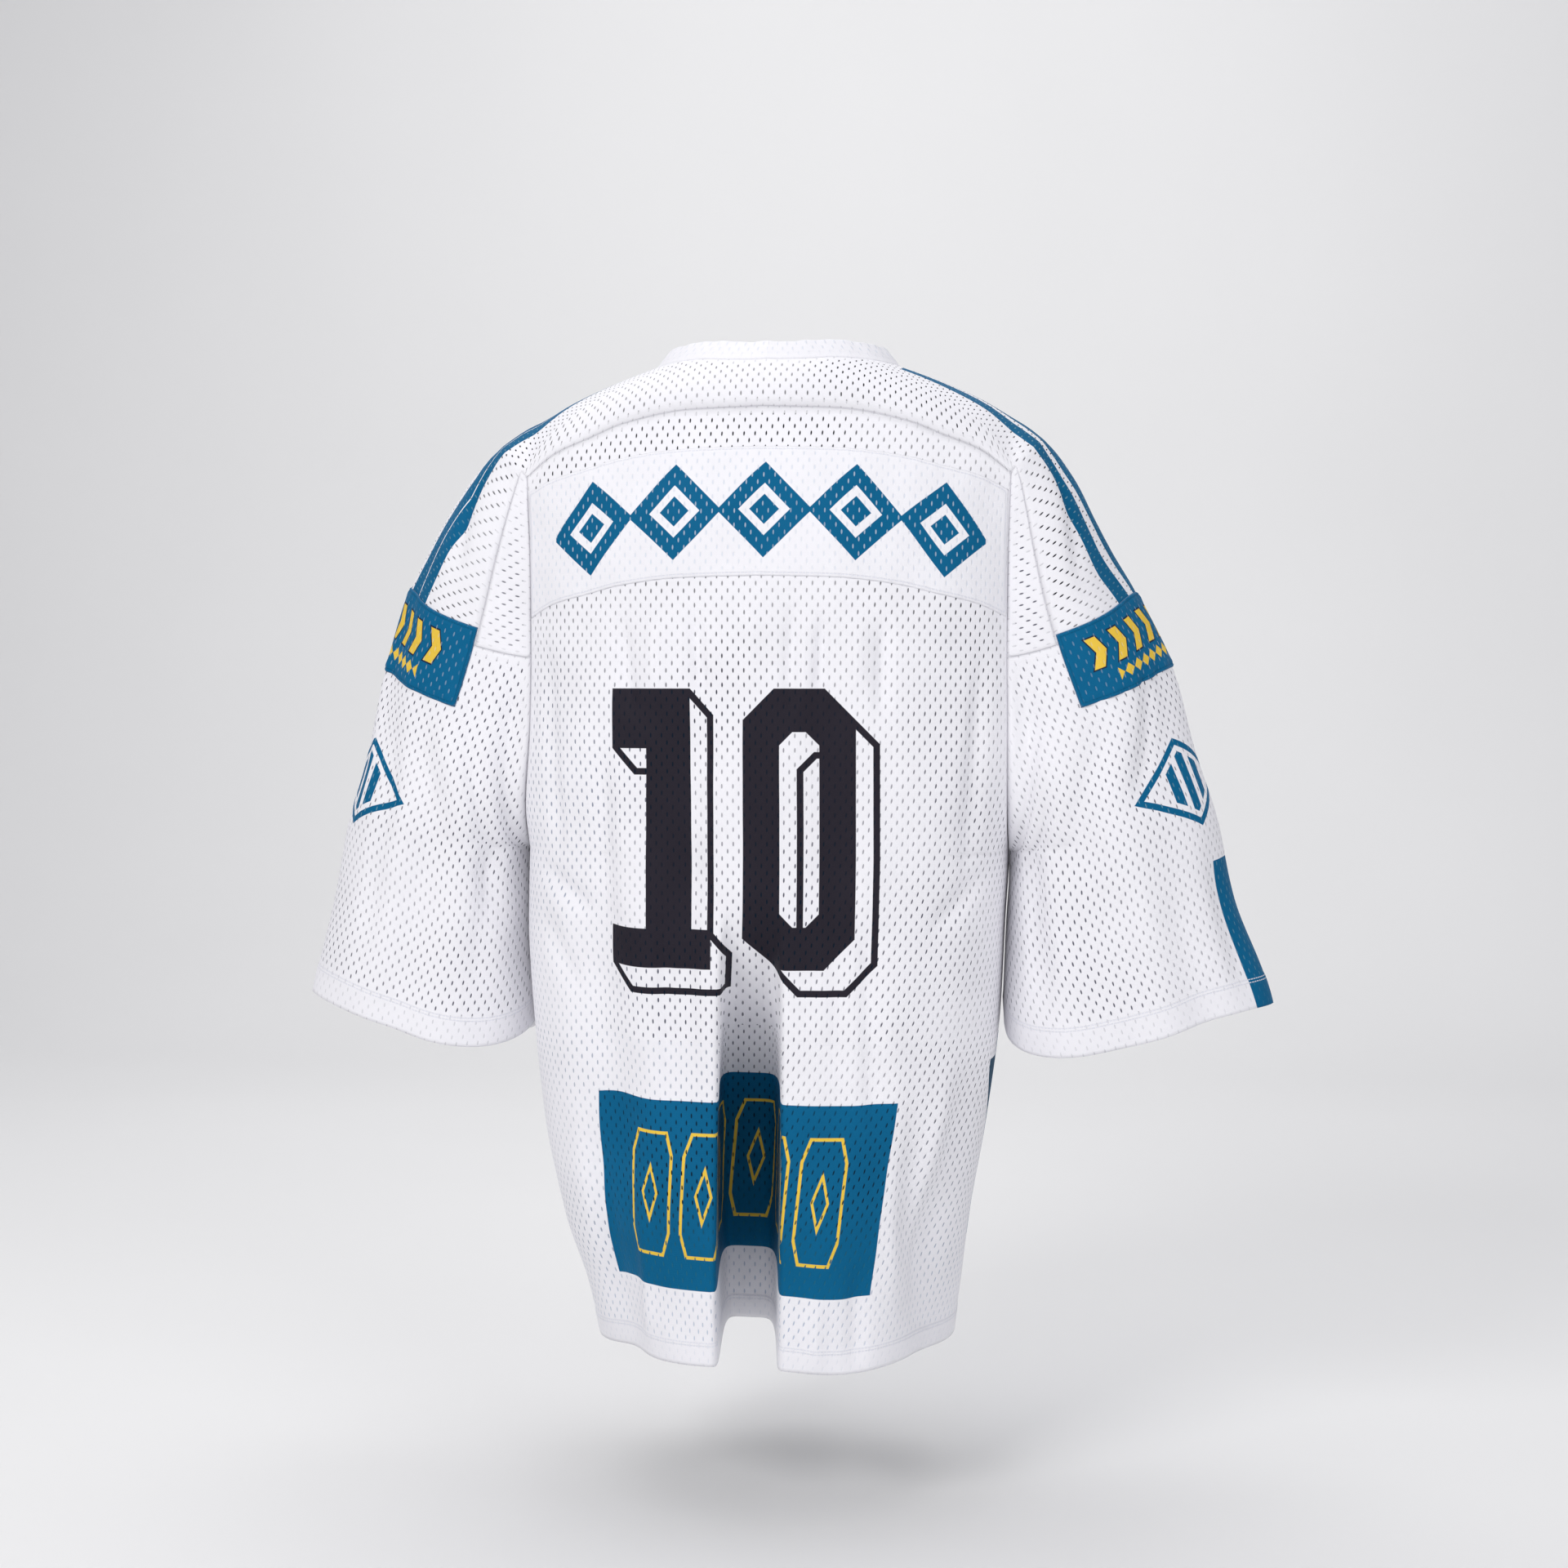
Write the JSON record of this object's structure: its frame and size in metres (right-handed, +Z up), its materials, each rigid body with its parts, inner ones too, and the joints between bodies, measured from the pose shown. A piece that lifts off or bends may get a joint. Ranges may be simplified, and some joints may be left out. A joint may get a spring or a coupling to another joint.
{
  "type": "mesh sports jersey",
  "caption": "Loose mesh sports jersey in its hollow worn shape: shoulder yoke, wide elbow-length sleeves, collar band and a deep fold down the lower back.",
  "frame": {"origin": "between the shoulders, at the height of the neck seam beside the neck, where the wearer's shoulders carry the jersey", "axes": "+Z up; the wearer faces -Y, so the back of the jersey is on the +Y side; +X is the wearer's left"},
  "size_m": [0.844, 0.3109, 0.8687],
  "materials": {
    "back_panel": "matte polyester mesh",
    "front_panel": "matte polyester mesh",
    "yoke": "matte polyester mesh",
    "collar_band": "matte polyester mesh",
    "name_plate": "matte polyester mesh",
    "upper_sleeve_back_left": "matte polyester mesh",
    "upper_sleeve_back_right": "matte polyester mesh",
    "upper_sleeve_front_left": "matte polyester mesh",
    "upper_sleeve_front_right": "matte polyester mesh",
    "lower_sleeve_left": "matte polyester mesh",
    "lower_sleeve_right": "matte polyester mesh",
    "sleeve_patch_left": "matte polyester mesh",
    "sleeve_patch_right": "matte polyester mesh"
  },
  "bodies": {
    "root": {"back_panel": "back_panel", "front_panel": "front_panel", "yoke": "yoke", "collar_band": "collar_band", "name_plate": "name_plate", "upper_sleeve_back_left": "upper_sleeve_back_left", "upper_sleeve_back_right": "upper_sleeve_back_right", "upper_sleeve_front_left": "upper_sleeve_front_left", "upper_sleeve_front_right": "upper_sleeve_front_right", "lower_sleeve_left": "lower_sleeve_left", "lower_sleeve_right": "lower_sleeve_right", "sleeve_patch_left": "sleeve_patch_left", "sleeve_patch_right": "sleeve_patch_right"}
  },
  "joints": []
}
